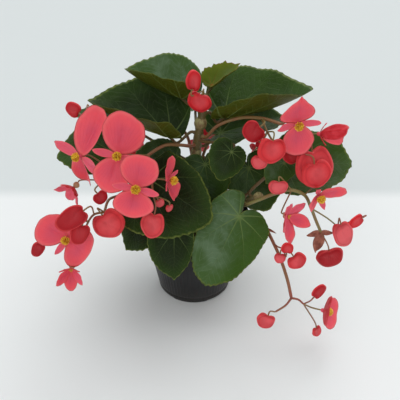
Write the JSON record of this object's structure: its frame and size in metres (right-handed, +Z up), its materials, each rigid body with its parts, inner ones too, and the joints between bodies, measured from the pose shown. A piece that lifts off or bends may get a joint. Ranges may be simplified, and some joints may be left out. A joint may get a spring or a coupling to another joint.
{
  "type": "potted begonia",
  "caption": "Begonia house plant with upright canes, large toothed winged leaves and hanging sprays of coral flowers, standing in soil in a plain round black nursery pot.",
  "frame": {"origin": "middle of the pot's base, on the surface that it stands on", "axes": "+Z up along the pot's axis, the plant's front faces -Y, +X to the right of someone who looks at that front"},
  "size_m": [0.3444, 0.2551, 0.2777],
  "materials": {
    "pot": "satin black moulded plastic",
    "soil": "loose dark potting soil",
    "stem": "smooth green and brown cane",
    "leaf": "waxy dark green blade with paler veins",
    "young_leaf": "soft yellow green young blade with a reddish rim",
    "stalk": "smooth reddish stalk",
    "tepal": "thin satin coral petal",
    "stamens": "matte yellow"
  },
  "bodies": {
    "root": {"pot": "pot", "soil": "soil", "stem": "stem", "leaf_crown_left": "leaf", "leaf_back_left": "leaf", "leaf_crown_right": "leaf", "leaf_young": "young_leaf", "leaf_right_low": "leaf", "leaf_front_small": "leaf", "leaf_front_left": "leaf", "leaf_front_big": "leaf", "leaf_front_low": "leaf", "leaf_left_low": "leaf", "leaf_left_mid": "leaf", "leaf_left_out": "leaf", "leaf_left_far": "leaf", "leaf_mid_a": "leaf", "leaf_mid_b": "leaf", "leaf_right_out": "leaf", "leaf_right_small": "leaf", "leaf_back_high": "leaf", "leaf_back_right": "leaf", "leaf_back_mid": "leaf", "leaf_back_low_left": "leaf", "leaf_back_low_right": "leaf", "spray_left": "stalk", "spray_left_low": "stalk", "spray_top": "stalk", "spray_right": "stalk", "spray_right_low": "stalk", "spray_front": "stalk", "spray_back_left": "stalk", "spray_back_right": "stalk", "bloom_left_top": "tepal", "bloom_left_top_stamens": "stamens", "bloom_left_low": "tepal", "bloom_left_low_stamens": "stamens", "bloom_left_out": "tepal", "bloom_left_out_stamens": "stamens", "bloom_left_edge": "tepal", "bloom_left_edge_stamens": "stamens", "bloom_left_drop": "tepal", "bloom_left_drop_stamens": "stamens", "bloom_right_top": "tepal", "bloom_right_top_stamens": "stamens", "bloom_right_side": "tepal", "bloom_right_side_stamens": "stamens", "bloom_right_nod": "tepal", "bloom_right_nod_stamens": "stamens", "bloom_front_low": "tepal", "bloom_front_low_stamens": "stamens", "bloom_back_left": "tepal", "bloom_back_left_stamens": "stamens", "bloom_back_right": "tepal", "bloom_back_right_stamens": "stamens", "bloom_back_low": "tepal", "bloom_back_low_stamens": "stamens"}
  },
  "joints": []
}
